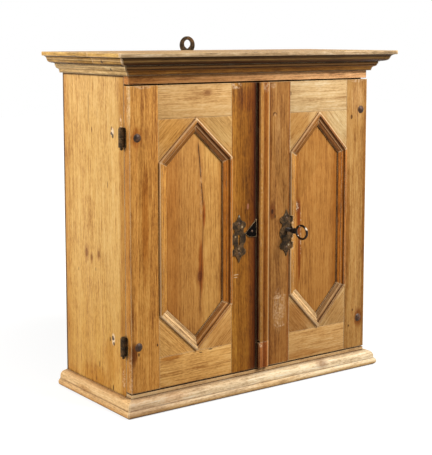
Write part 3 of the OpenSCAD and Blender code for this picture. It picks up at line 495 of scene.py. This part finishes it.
marks = {  # each board's own marks, as in the photograph
    "side_left": {
        "knots": [(onSide(70, 280), 5), (onSide(51, 273), 3.5), (onSide(24, 283), 4)],
        "cracks": [(onSide(55.5, 590), onSide(56.5, 524), 0.8, 0.6)],
        # the first two washes are painted light: brighter towards the top, darker towards the bottom
        "washes": [(upZ, 330, 60, (0.97, 0.93, 0.82)), (upZ, 480, 640, (1.02, 1.03, 1.08)),
                   (upY, -44, -62, (0.86, 0.78, 0.64)), (upY, 120, 150, (0.93, 0.87, 0.8))],
        "stains": [(onSide(-20, 90), (50, 30), (0.95, 0.9, 0.82)), (onSide(40, 45), (25, 60), (0.93, 0.87, 0.75))],
        # the first line is a painted shadow under the bed moulding
        "lines": [(upZ, 619.5, 3.5, 0.85), (upY, -70.7, 2, 0.6), (upY, 153.5, 6, 1.0)],
        "scuffs": [(onSide(-60, 535), (16, 4), 0.8), (onSide(-62, 60), (22, 6), 0.7)],
        "spots": [(onSide(-30, 517), (9, 5), 0.85, torn), (onSide(-31, 510), (5, 3.5), 0.9, hole),
                  (onSide(-27, 524), (4, 2.5), 0.7, (90, 50, 24)), (onSide(-26, 130), (12, 6), 0.8, torn),
                  (onSide(-24, 132), (5, 4), 0.9, hole), (onSide(-28, 122), (4, 3), 0.9, hole),
                  (onSide(-15, 128), (5, 3), 0.7, hole), (onSide(45, 517), (6, 1.5), 0.7, burnt),
                  (onSide(-10.6, 419), (7, 1.5), 0.6, burnt), (onSide(102, 243), (4, 1.5), 0.6, burnt),
                  (onSide(36, 253), (4, 1.5), 0.6, burnt), (onSide(25.6, 71), (7, 1.3), 0.85, hole),
                  (onSide(39, 40), (5, 1.3), 0.8, hole), (onSide(-24, 37), (6, 2), 0.85, hole)],
    },
    "side_right": {"knots": [((287, 30, 210), 9), ((287, 90, 470), 6)]},
    "top_board": {"knots": [((120, 20, 688), 9)]},
    "shelf": {"knots": [((-90, 40, 361), 7)]},
    "back_board_left": {"knots": [((-180, 154, 420), 10)]},
    "back_board_middle": {"knots": [((40, 154, 180), 12)]},
    "back_board_right": {"knots": [((190, 154, 520), 9)]},
    "frieze_rail": {
        "washes": [(upX, -160, 250, (1.3, 1.4, 1.6)), (upX, -150, -260, (0.92, 0.86, 0.75)),
                   (upZ, 635, 650, (0.72, 0.78, 0.8))],
    },
    "plinth_rail": {
        # painted shade under the doors: a darker band and dark lines along the gaps
        "washes": [(upZ, 28, 31, (0.8, 0.72, 0.62))],
        "lines": [(upZ, 31.5, 1.6, 0.6), (upZ, 38.5, 1.6, 0.8)],
    },
    "crown_front": {
        # dark lines of painted shadow under the crown and its steps, a pale line of painted highlight on its round
        "lines": [(upZ, 639, 4.5, 1.0), (upZ, 652.4, 2.4, 0.9), (upZ, 650, 3.0, 0.6),
                  (upZ, 646.6, 2.4, 0.6, (168, 128, 74)), (upZ, 644, 1.6, 0.7)],
        # painted light on the fillet and towards the right, painted shade under the fillet and on the lower body
        "washes": [(upZ, 652.5, 654.5, (1.25, 1.3, 1.45)), (upX, 0, 320, (1.06, 1.08, 1.12)),
                   (upZ, 653.5, 652, (0.94, 0.84, 0.66)), (upZ, 645, 642, (0.6, 0.48, 0.34)),
                   (upZ, 660.2, 660.8, (1.04, 0.98, 0.76))],
    },
    "crown_left": {"spots": [((-332, -52.5, 645), (3, 3), 0.9, hole)]},
    "bed_front": {
        # dark lines of painted shade under the crown and the bed's steps, a pale line of painted highlight
        "lines": [(upZ, 631.5, 2.4, 0.9), (upZ, 621, 2.6, 0.9), (upZ, 638, 1.6, 0.9),
                  (upZ, 634.8, 2.2, 0.8, (186, 132, 76))],
        # painted shade over the whole bed front, painted light towards the right
        "washes": [(upZ, 600, 601, (0.8, 0.76, 0.7)), (upX, 120, 300, (1.12, 1.16, 1.2))],
    },
    "bed_left": {"spots": [((-300, -52.5, 631), (3, 3), 0.9, hole)]},
    "base_front": {
        "mottle": 0.55,
        "knots": [((161, -110, 24), 5)],
        "washes": [(upZ, 13, 3, (0.93, 0.82, 0.64)), (upX, -120, -310, (0.86, 0.82, 0.8)),
                   (upX, 40, -100, (0.94, 0.92, 0.9))],
        "stains": [((-200, -110, 22), (40, 9), (0.97, 0.93, 0.9)), ((40, -110, 12), (60, 6), (0.96, 0.92, 0.86))],
    },
    "left_hinge_stile_board": {
        "washes": [(upX, -285.4, -286.8, (0.92, 0.9, 0.84)), (upZ, 440, 560, (1.04, 1.06, 1.1))],
        "scuffs": [(onStileEdge(575), (40, 3), 0.5), (onStileEdge(70), (50, 3), 0.4),
                   (onDoor(-262, 600), (4, 24), 0.5)],
        "stains": [(onDoor(-271, 509), (22, 14), (0.8, 0.68, 0.55)), (onDoor(-281, 114), (26, 9), (0.6, 0.5, 0.4)),
                   (onStileEdge(572), (60, 3), (1.12, 1.24, 1.5)),
                   (onDoor(-255, 350), (120, 9), (0.9, 0.82, 0.7))],
        "spots": [(onDoor(-230.6, 124), (3, 2), 0.9, burnt), (onDoor(-271, 112), (4, 2), 0.8, hole)],
    },
    "right_hinge_stile_board": {
        "scuffs": [(onDoor(262, 600), (5, 24), 0.6)],
        "stains": [(onDoor(271, 103), (24, 12), (0.75, 0.62, 0.5)),
                   (onDoor(262, 560), (45, 20), (1.08, 1.12, 1.25)),
                   (onDoor(240, 300), (150, 7), (0.88, 0.8, 0.68)),
                   (onDoor(283, 300), (300, 5), (0.8, 0.72, 0.6))],
        "spots": [(onDoor(245, 89), (3, 2), 0.85, burnt), (onDoor(246, 526), (5, 3), 0.8, burnt),
                  (onDoor(256, 121), (3, 2), 0.8, burnt)],
    },
    "left_lock_stile_board": {
        "edges": (0.12, 0.8),
        # dark lines of painted shade along the lower edge and at the meeting gap
        "lines": [(upZ, 40, 2.4, 0.7), (upX, -0.5, 4.5, 1.0)],
        # painted shade and dark patina towards the meeting gap
        "washes": [(upX, -43, -50, (1.15, 1.2, 1.3)), (upX, -28, -8, (0.74, 0.64, 0.6)),
                   (upX, -10, -3, (0.6, 0.45, 0.4)), (upZ, 588, 600, (1.14, 1.2, 1.3))],
        "scuffs": [(onDoor(-50, 598), (8, 14), 0.8)],
        "stains": [(onDoor(-26, 570), (26, 26), (0.93, 0.87, 0.8))],
        "spots": [(onDoor(-21, 364), (7, 3), 0.75, (170, 110, 80)), (onDoor(-49, 233.5), (0.9, 6.5), 0.6, torn),
                  (onDoor(-50, 228.5), (0.9, 5), 0.5, torn)],
    },
    "right_lock_stile_board": {
        # painted shade on the edge in the gap, beside the meeting strip and beside the upright moulding
        "washes": [(upX, 3, 1.2, (0.4, 0.24, 0.16)), (upZ, 200, 90, (0.96, 0.92, 0.86)),
                   (upX, 39, 33, (0.8, 0.72, 0.6)), (upX, 76, 82, (0.86, 0.76, 0.64))],
        "scuffs": [(onDoor(58, 150), (46, 18), 0.34), (onDoor(60, 176), (5, 20), 0.5),
                   (onDoor(66, 120), (6, 20), 0.6), (onDoor(40, 596), (7, 8), 0.4)],
        "stains": [(onDoor(55, 140), (45, 14), (1.1, 1.18, 1.35)), (onDoor(40, 350), (22, 9), (0.7, 0.6, 0.55)),
                   (onDoor(52, 500), (70, 9), (1.06, 1.1, 1.2))],
        "spots": [(onDoor(39.4, 349), (5, 3), 0.8, hole), (onDoor(47, 338), (4, 2), 0.7, hole),
                  (onDoor(43.6, 539.5), (4.5, 4.5), 0.75, burnt),
                  (onDoor(45.2, 538), (3.2, 3.4), 0.8, (196, 144, 88)), (onDoor(49, 540), (3, 1.2), 0.7, burnt)],
    },
    "left_top_rail": {"knots": [(onDoor(-116.5, 586), 3.5)]},
    "right_top_rail": {"spots": [(onDoor(83.7, 579), (2, 4), 0.7, burnt)]},
    "left_bottom_rail": {
        "stains": [(onDoor(-200, 95), (30, 6), (0.85, 0.76, 0.62))],
        "spots": [(onDoor(-110, 97), (5, 1.5), 0.8, hole), (onDoor(-133, 94), (4, 1.5), 0.7, hole)],
    },
    "right_bottom_rail": {"stains": [(onDoor(120, 50), (60, 9), (0.92, 0.86, 0.78))]},
    "left_panel": {
        "knots": [(onPanel(-130.5, 240), 5.5)],
        "cracks": [(onPanel(-134.8, 497), onPanel(-128, 421), 1.3, 0.9),
                   (onPanel(-128, 424), onPanel(-122, 368), 1.3, 0.9),
                   (onPanel(-122, 372), onPanel(-131, 165), 1.1, 0.6)],
        # the second wash is painted shade beside the right-hand moulding
        "washes": [(upX, -126, -118, (1.05, 1.09, 1.12)), (upX, -92, -80, (0.86, 0.78, 0.68)),
                   (upX, -165, -190, (0.94, 0.88, 0.8)), (upZ, 400, 480, (1.03, 1.05, 1.08))],
        "stains": [(onPanel(-121, 356), (30, 4), (0.8, 0.6, 0.45)),
                   (onPanel(-128, 260), (60, 6), (0.82, 0.66, 0.5))],
        "scuffs": [(onPanel(-128, 400), (60, 3), 0.2)],
    },
    "right_panel": {
        "knots": [(onPanel(105.6, 353), 5)],
        "cracks": [(onPanel(111, 310), onPanel(114, 225), 0.9, 0.5),
                   (onPanel(114, 362), onPanel(119, 250), 0.7, 0.4)],
        "washes": [(upX, 120, 100, (0.92, 0.84, 0.72)), (upX, 190, 210, (0.86, 0.78, 0.66))],
        "stains": [(onPanel(112, 330), (44, 5), (0.75, 0.56, 0.42)),
                   (onPanel(114, 250), (60, 4), (0.8, 0.62, 0.48))],
        "scuffs": [(onPanel(107, 352), (12, 7), 0.9), (onPanel(117, 300), (60, 2), 0.5)],
    },
    "left_spandrels": {
        "stains": [(onDoor(-203, 520), (50, 40), (0.97, 0.93, 0.82)),
                   (onDoor(-83, 520), (50, 40), (0.98, 1.02, 1.06)),
                   (onDoor(-203, 120), (60, 50), (1.03, 1.03, 1.0)),
                   (onDoor(-83, 120), (50, 40), (0.94, 0.9, 0.84))],
    },
    "right_spandrels": {
        "stains": [(onDoor(97.5, 520), (50, 40), (0.93, 0.86, 0.74)),
                   (onDoor(217.5, 520), (50, 40), (1.06, 1.14, 1.26)),
                   (onDoor(97.5, 120), (60, 50), (0.88, 0.78, 0.66)),
                   (onDoor(217.5, 120), (50, 40), (0.94, 0.9, 0.84))],
    },
    "meeting_strip": {"scuffs": [((20, -95, 596), (14, 12), 0.6), ((8, -95, 300), (300, 3), 0.2)]},
    "meeting_strip_patch": {
        "scuffs": [((8, -95, 88), (8, 6), 0.8)],
        "stains": [((8, -95, 66), (80, 20), (0.84, 0.78, 0.8))],
    },
}

boards = {}


def board(name, tone, grain, seed, pith, **more):  # pith: the log's middle, across the board and into it, mm
    look = dict(usual, tone=tone, seed=seed, pith=pith, dye=dyes.get(name, usual["dye"]))
    look["grain"] = grainWays.get(grain, grain)
    if name.startswith(("left", "right")):
        look["face"] = doorFace
    look.update(more)
    look.update(marks.get(name, {}))
    boards[name] = look


board("side_left", "side", "side", 1.3, (150, 60), face=caseFace, broad=0.35, streak=0.5, late=0.12, flecks=0.35,
      knotDepth=0.6)
board("side_right", "side", "side", 7.9, (-150, 60), broad=0.5, streak=0.7)
board("top_board", "inside", "flat", 3.1, (10, 55))
board("bottom_board", "inside", "flat", 4.7, (-20, 65))
board("shelf", "inside", "flat", 5.2, (15, 60))
rearBoards = {"edges": (0.0, 0.95), "halo": (84, 58, 36), "knotDepth": 0.4, "dirt": (24, 16, 10)}
board("back_board_left", "back", "upright", 6.4, (20, 80), pitch=5.5, **rearBoards)
board("back_board_middle", "back", "upright", 8.8, (-30, 70), pitch=5, **rearBoards)
board("back_board_right", "back", "upright", 9.5, (10, 75), pitch=5.8, **rearBoards)
board("frieze_rail", "frieze", "level", 2.2, (-70, 40), depth=14)
board("plinth_rail", "base", "level", 2.9, (60, 50), edges=(0.3, 0.9))

# dark lines of painted shade under the crown's steps, a pale line of painted highlight and painted light on the
# fillet
crown = {"pitch": 3.0, "mottle": 0.8, "patch": 0.55, "edges": (0.8, 0.9), "depth": 12, "dirt": (40, 22, 8),
         "bare": (232, 200, 158), "washes": [(upZ, 652.5, 654.5, (1.0, 1.02, 1.06))],
         "lines": [(upZ, 639, 4.5, 1.0), (upZ, 652.4, 2.4, 0.9), (upZ, 645.5, 1.8, 0.6), (upZ, 649, 1.0, 0.5),
                   (upZ, 647.5, 1.4, 0.5, (226, 192, 140))]}
# dark lines of painted shade under the bed's steps and under the crown
bed = {"pitch": 3.0, "mottle": 0.8, "edges": (0.4, 0.9), "depth": 12, "dirt": (44, 22, 8),
       "lines": [(upZ, 632, 1.8, 0.5), (upZ, 621, 2.2, 0.7), (upZ, 638, 1.6, 0.6)]}
base = {"mottle": 0.35, "patch": 0.3, "broad": 0.25, "streak": 0.4, "late": 0.08, "fibre": 0.8, "flecks": 0.25,
        "edges": (0.6, 0.8), "dirt": (96, 58, 28), "depth": 7, "knotDepth": 0.35,
        # dark lines of painted shade and dirt in the moulding's hollows and along its foot
        "lines": [(upZ, 14.6, 1.8, 0.6), (upZ, 1, 2.5, 0.4), (upZ, 30.6, 1.4, 0.4)],
        "washes": [(upZ, 13, 3, (0.93, 0.82, 0.64))], "stains": [((-308, 60, 18), (26, 6), (0.96, 0.92, 0.86))]}
for kind, tone, pith, look, seeds in (
        ("crown", "crown", (25, -35), crown, {"front": 0.4, "left": 1.1, "left_rear": 6.1, "right": 2.6}),
        ("bed", "crown", (20, -30), bed, {"front": 3.4, "left": 4.1, "right": 5.6}),
        ("base", "base", (-25, -30), base, {"front": 7.2, "left": 8.3, "right": 9.9})):
    for place, seed in seeds.items():
        board(kind + "_" + place, tone, "level" if place == "front" else "return", seed, pith, **look)

# Doors, and the hexagonal mouldings round their panels

doors = {  # middle: of the panel; half: its width's half; lower: gain of the painted shading on the slanting lengths' lower half
    "left": {"sign": -1, "middle": -143, "half": 83, "lockTone": "lockStile", "panelPith": 17,
             "lower": (0.98, 0.94, 0.88)},
    "right": {"sign": 1, "middle": 157.5, "half": 74.5, "lockTone": "stile", "panelPith": -30,
              "lower": (0.92, 0.98, 1.2)},
}
hexagon = {"bottom": 99, "middle": 320, "top": 541,  # levels
           "shoulder": 78}  # how far a shoulder lies from its point
sill = [(upZ, 40, 2.4, 0.7)]  # painted shade and dirt along the door's lower edge
slantHollows = (  # dark lines of painted shade and dirt in the hollows: from the outer arris, width, share
    (7.5, 2.0, 0.75), (13.5, 1.2, 0.5), (16.5, 4.0, 0.45), (20, 2.0, 0.9),
)


def uprightMarks(middle, half):
    # dark lines of painted shade and dirt in the hollows
    lines = [(upX, middle - half + at, wide, share) for at, wide, share in ((7.5, 2.6, 0.7), (20, 2.2, 0.9))]
    lines += [(upX, middle + half - at, wide, share) for at, wide, share in ((7.5, 2.2, 0.6), (20, 2.2, 0.9))]
    # pale lines of painted highlight along the outer arrises
    lines += [(upX, middle - half + 1, 1.8, 0.7, paintedHighlight), (upX, middle + half - 1, 1.8, 0.6, paintedHighlight)]
    # painted shade on the right-hand upright
    return {"lines": lines, "washes": [(upX, middle, middle + 10, (0.93, 0.82, 0.66))]}


def slantMarks(middle, across, lit, lower):  # lit: the lengths that fall to the right, with painted shade above and painted light below
    lines = []
    for tip, turn in ((hexagon["top"], -1), (hexagon["bottom"], 1)):
        edge = Vector((middle, 0, tip)).dot(Vector(across))
        lines += [(across, edge + turn * at, wide, share) for at, wide, share in slantHollows]
        # pale lines of painted highlight on the outer arris and the bead, stronger on the lit lengths
        lines += [(across, edge + turn * 1.4, 2.6, 0.95 if lit else 0.4, paintedHighlight),
                  (across, edge + turn * 11, 1.3, 0.5 if lit else 0.25, paintedHighlight)]
    # painted shade on the upper half and painted light on the lower half
    return {"lines": lines, "washes": [(upZ, 310, 330, (0.84, 0.72, 0.62) if lit else (0.97, 0.92, 0.84)),
                                       (upZ, 330, 310, (1.26, 1.36, 1.5) if lit else lower)]}


for side, door in doors.items():
    sign, middle, half = door["sign"], door["middle"], door["half"]
    run = math.hypot(half, hexagon["shoulder"])
    x, z = half / run, hexagon["shoulder"] / run
    fall, climb = ((x, 0, -z), (z, 0, x)), ((x, 0, z), (-z, 0, x))  # slanting grains, to the right
    falling, rising = (fall, climb) if side == "left" else (climb, fall)  # as seen from the hinges
    board(side + "_hinge_stile_board", "stile", "upright", 1.9 + sign, (-80 * sign, 34), lines=sill)
    board(side + "_lock_stile_board", door["lockTone"], "upright", 5.5 + sign, (70, 40), lines=sill)
    board(side + "_top_rail", "rail", "level", 2.4 + sign, (-70, 38), lean=(0.02, 0.03), late=0.12, fibre=0.8,
          grit=0.6, knotDepth=0.45)
    board(side + "_bottom_rail", "rail", "level", 8.1 + sign, (64, 42), lean=(0.02, 0.03), late=0.14, lines=sill)
    board(side + "_panel", "panel", "upright", 4.4 + sign * 2, (door["panelPith"], 34), lean=(0.012, 0.035),
          pitch=2.5, late=0.14, wander=0.004, edges=(0, 0.9), depth=12, broad=0.3, fibre=0.7, grit=0.5, mottle=0.3)
    board(side + "_spandrels", "spandrel", fall, 3.3 + sign, (0, 40), pitch=3.6, late=0.12, streak=0.5,
          mirror=(middle, hexagon["middle"]), wander=0.004, edges=(0.3, 0.8))
    for kind, grain, seed in (("upright", "upright", 6.7), ("falling", falling, 7.7), ("rising", rising, 9.1)):
        found = (uprightMarks(middle, half) if kind == "upright"
                 else slantMarks(middle, grain[1], grain == fall, door["lower"]))
        board(side + "_" + kind + "_mouldings", "moulding", grain, seed + sign, (10, 30), late=0.08, pitch=2.6,
              edges=(0.85, 0.95), depth=8, dirt=(48, 22, 8), bare=(232, 196, 146), **found)

reeds = {"late": 0.1, "edges": (0.35, 0.9), "dirt": (46, 22, 8),
         # dark lines of painted shade and dirt in the grooves
         "lines": [(upX, 4.5, 1.6, 0.6), (upX, 13, 1.6, 0.45), (upX, 21.5, 1.6, 0.5), (upX, 31, 2.4, 0.85)],
         # the first wash is painted shade on the strip's left face
         "washes": [(upX, 2.6, 1.1, (0.55, 0.3, 0.18)), (upX, 5, 3.5, (0.72, 0.7, 0.6)),
                    (upX, 12, 14, (0.9, 0.78, 0.66)), (upX, 20.5, 22.5, (1.12, 1.22, 1.25))]}
board("meeting_strip", "strip", "upright", 2.7, (6, 36), streak=0.5, **reeds)
board("meeting_strip_patch", "strip", "upright", 5.9, (-8, 30), **reeds)


# Ironwork

# the first tone is for painted highlights, the second for pits
paintedGleam, pit = (240, 222, 196), (14, 10, 7)
iron = {  # edge and the dots' sizes in mm; dots: place, size, tone
    "plates": {"seed": 0.13, "tone": (58, 42, 24), "light": (124, 96, 60), "rust": 0.35, "edge": 1.2, "worn": 0.5,
               "bright": (168, 142, 104), "rough": 0.5, "metal": 0.0, "shine": 0.12, "relief": 1.0,
               # the pale dots are painted highlights; the darkest are pits
               "dots": [((-43, -90, 347), 3, (150, 140, 118)), ((-36, -90, 326), 3, (170, 148, 112)),
                        ((-52, -90, 308), 3, (150, 124, 88)), ((-44, -90, 284), 3.5, (140, 112, 80)),
                        ((80, -90, 279), 3, (170, 150, 118)), ((72, -90, 340), 3, (110, 92, 72)),
                        ((-40.5, -90, 332), 3.2, pit), ((-43.7, -90, 296), 2.2, pit), ((-46, -90, 318), 2, pit),
                        ((-41, -90, 268), 2.4, pit), ((74.4, -90, 333.5), 2.6, pit), ((72, -90, 298), 4, pit),
                        ((76, -90, 266), 2, pit)]},
    "works": {"seed": 0.53, "tone": (56, 43, 30), "light": (84, 66, 46), "rust": 0.5, "edge": 1.2, "worn": 0.3,
              "bright": (140, 118, 88), "rough": 0.5, "metal": 0.0, "shine": 0.15, "relief": 0.5, "dots": []},
    "nails": {"seed": 0.41, "tone": (66, 42, 24), "light": (118, 82, 54), "rust": 0.5, "edge": 1.5, "worn": 0.2,
              "bright": (170, 140, 110), "rough": 0.3, "metal": 0.0, "shine": 0.25, "relief": 0.7, "dots": []},
    "key": {"seed": 0.77, "tone": (30, 21, 13), "light": (76, 56, 36), "rust": 0.15, "edge": 1, "worn": 0.0,
            "bright": (190, 170, 140), "rough": 0.3, "metal": 0.1, "shine": 0.2, "relief": 0.7,
            # painted highlights on the ring
            "dots": [((74.5, -152, 320), 4.8, paintedGleam), ((74.5, -133, 322), 3.5, paintedGleam),
                     ((74.5, -128, 304), 2.5, paintedGleam)]},
    "strike": {"seed": 0.29, "tone": (5, 3, 2), "light": (18, 12, 7), "rust": 0.1, "edge": 1.4, "worn": 0.9,
               "bright": (206, 176, 130), "rough": 0.7, "metal": 0.0, "shine": 0.05, "relief": 0.7,
               "dots": [((-31, -90.5, 314), 4, (120, 82, 44)), ((-26, -90.5, 322), 3.5, (96, 64, 36))]},
}


ironNoises = {"hammer": (170, 2, 0.5), "scale": (850, 3, 0.6), "patch": (110, 3, 0.6)}  # scale, detail, roughness
rustTone = (92, 52, 30)


def ironMaterial(kind, look):
    shader = Shader("iron_" + kind)
    model = shader.place()
    place = shader.shifted(model, (look["seed"], look["seed"] * 2, look["seed"] * 3))
    hammer, scale, patch = (shader.noise(place, *ironNoises[part]) for part in ("hammer", "scale", "patch"))
    colour = shader.ramp(patch + (scale - 0.5) * 0.7, (
        (0.25, tint(*pit)), (0.5, tint(*look["tone"])), (0.8, tint(*look["light"]))))
    colour = shader.blend(patch.rise(0.5, 0.72) * look["rust"], colour, tint(*rustTone))
    # worn edges paled, which also paints their highlight
    worn = (shader.arris(look["edge"]) + (scale - 0.5) * 0.6).rise(0.8, 0.5) * look["worn"]
    colour = shader.blend(worn, colour, tint(*look["bright"]))
    for point, size, value in look["dots"]:
        away = shader.length(shader.shifted(model, tuple(Vector(point) * mm))) + (scale - 0.5) * mm
        colour = shader.blend(away.rise(size * mm, size * 0.4 * mm), colour, tint(*value))
    rough = look["rough"] + scale * 0.3 - worn * 0.1
    return shader.finish(colour, rough, hammer * 0.9 + scale * 0.3, look["relief"], look["metal"], look["shine"])


def ironKind(name):
    if name.endswith("nails"):
        return "nails"
    if name.startswith(("lock_", "slide_bolt")):
        return "works"
    return {"key": "key", "strike_plate": "strike"}.get(name, "plates")


ironMade = {kind: ironMaterial(kind, look) for kind, look in iron.items()}


# Boards and ironwork with softened arrises

softening = {
    "wood": 0.9, "plate": 0.35, "small": 0.3,  # mm
    "weld": 0.01,  # mm
    "steps": 2,
    "flat": 1,  # degrees between faces that are one
    "sharp": 32,  # degrees between faces that make an arris
    "smooth": 35,
}
keyGrowth = {"by": 0.45, "before": -95.5}  # mm: the ring and the shank, thick as in a hand-forged key


def softened(name, width, material):
    mesh = nodes[name].data.copy()
    piece = bpy.data.objects.new(name + "_worn", mesh)
    scene.collection.objects.link(piece)
    bpy.ops.object.select_all(action="DESELECT")
    bpy.context.view_layer.objects.active = piece
    piece.select_set(True)
    bpy.ops.object.mode_set(mode="EDIT")
    bpy.ops.mesh.select_all(action="SELECT")
    bpy.ops.mesh.remove_doubles(threshold=softening["weld"] * mm)
    bpy.ops.mesh.dissolve_limited(angle_limit=math.radians(softening["flat"]))
    bpy.ops.object.mode_set(mode="OBJECT")
    bevel = piece.modifiers.new("arris", "BEVEL")
    bevel.width = width * mm
    bevel.segments = softening["steps"]
    bevel.limit_method = "ANGLE"
    bevel.angle_limit = math.radians(softening["sharp"])
    bpy.ops.object.modifier_apply(modifier=bevel.name)
    bpy.ops.object.shade_smooth_by_angle(angle=math.radians(softening["smooth"]))
    piece.data.materials.clear()
    piece.data.materials.append(material)
    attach(piece, bodyOf[name])
    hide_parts(name)
    return piece


for name in sorted(nodes):
    if name in boards:
        softened(name, softening["wood"], Wood(name, boards[name]).dress())
    elif name.endswith("nails"):
        nodes[name].data.materials.clear()
        nodes[name].data.materials.append(ironMade["nails"])
    else:
        piece = softened(name, softening["plate" if "plate" in name else "small"], ironMade[ironKind(name)])
        if name == "key":
            for vertex in piece.data.vertices:
                vertex.select = vertex.co.y < keyGrowth["before"] * mm
            bpy.ops.object.mode_set(mode="EDIT")
            bpy.ops.transform.shrink_fatten(value=keyGrowth["by"] * mm)
            bpy.ops.object.mode_set(mode="OBJECT")
print("pieces dressed:", len(boards), "boards")


# Floor, light and camera

studio = {
    "sky": 0.28,
    "bounce": 0.3,  # how pale the floor is to the light that it throws back
    "floor": (0.36, 0.355, 0.345),  # how pale it is to the camera, before its glow
    "floorGlow": 0.74,
    "glowSpread": (0.45, 1.5),  # m from the middle, where the glow grows to full
    "floorSize": 14,  # m
    "floorLevel": -0.0005,
}
lights = {  # m and W
    "left_light": {"place": (-1.9, 0.45, 1.05), "target": (-0.3, 0.05, 0.45), "size": 1.1, "power": 36.0},
    "front_light": {"place": (0.9, -1.7, 2.1), "target": (0, 0, 0.5), "size": 1.2, "power": 78.0},
}
view = {"lens": 90.59, "sensor": 36, "shift": -0.1154, "place": (-1.3536, -1.8199, 0.6921), "tilt": 0.1216,
        "turn": -0.628}
whiteLight = (1, 1, 1, 1)

floorShader = Shader("studio_floor")
plain = floorShader.node("BsdfDiffuse", None, {"Color": (studio["bounce"],) * 3 + (1,)})
dim = floorShader.node("BsdfDiffuse", None, {"Color": studio["floor"] + (1,)})
spread = floorShader.length(floorShader.place()).rise(*studio["glowSpread"])
glow = floorShader.node("Emission", None, {
    "Color": whiteLight, "Strength": spread * (1 - studio["floorGlow"]) + studio["floorGlow"]})
glowing = floorShader.node("AddShader", None, {0: dim, 1: glow})
floorShader.output(floorShader.node("MixShader", None, {0: floorShader.seen(), 1: plain, 2: glowing}))

bpy.ops.mesh.primitive_plane_add(size=studio["floorSize"], location=(0, 0, studio["floorLevel"]))
floor = bpy.context.object
floor.name = "studio_floor"
bpy.ops.object.transform_apply(location=True, rotation=True, scale=True)
floor.data.materials.append(floorShader.material)

scene.world = bpy.data.worlds.new("studio")
scene.world.use_nodes = True
sky = Shader("studio_sky", scene.world)
light = sky.node("Background", None, {"Color": whiteLight, "Strength": studio["sky"]})
backdrop = sky.node("Background", None, {"Color": whiteLight, "Strength": 1.0})
sky.output(sky.node("MixShader", None, {0: sky.seen(), 1: light, 2: backdrop}), "World")

for name, look in lights.items():
    lamp = bpy.data.lights.new(name, "AREA")
    lamp.shape = "SQUARE"
    lamp.size = look["size"]
    lamp.energy = look["power"]
    holder = bpy.data.objects.new(name, lamp)
    scene.collection.objects.link(holder)
    holder.location = look["place"]
    holder.rotation_euler = (Vector(look["target"]) - Vector(look["place"])).to_track_quat("-Z", "Y").to_euler()

cameraData = bpy.data.cameras.new("camera")
cameraData.lens = view["lens"]
cameraData.sensor_width = view["sensor"]
cameraData.shift_y = view["shift"]
camera = bpy.data.objects.new("camera", cameraData)
scene.collection.objects.link(camera)
camera.location = view["place"]
camera.rotation_euler = (math.pi / 2 - view["tilt"], 0, view["turn"])
scene.camera = camera
scene.view_settings.view_transform = "Standard"
print("studio ready")
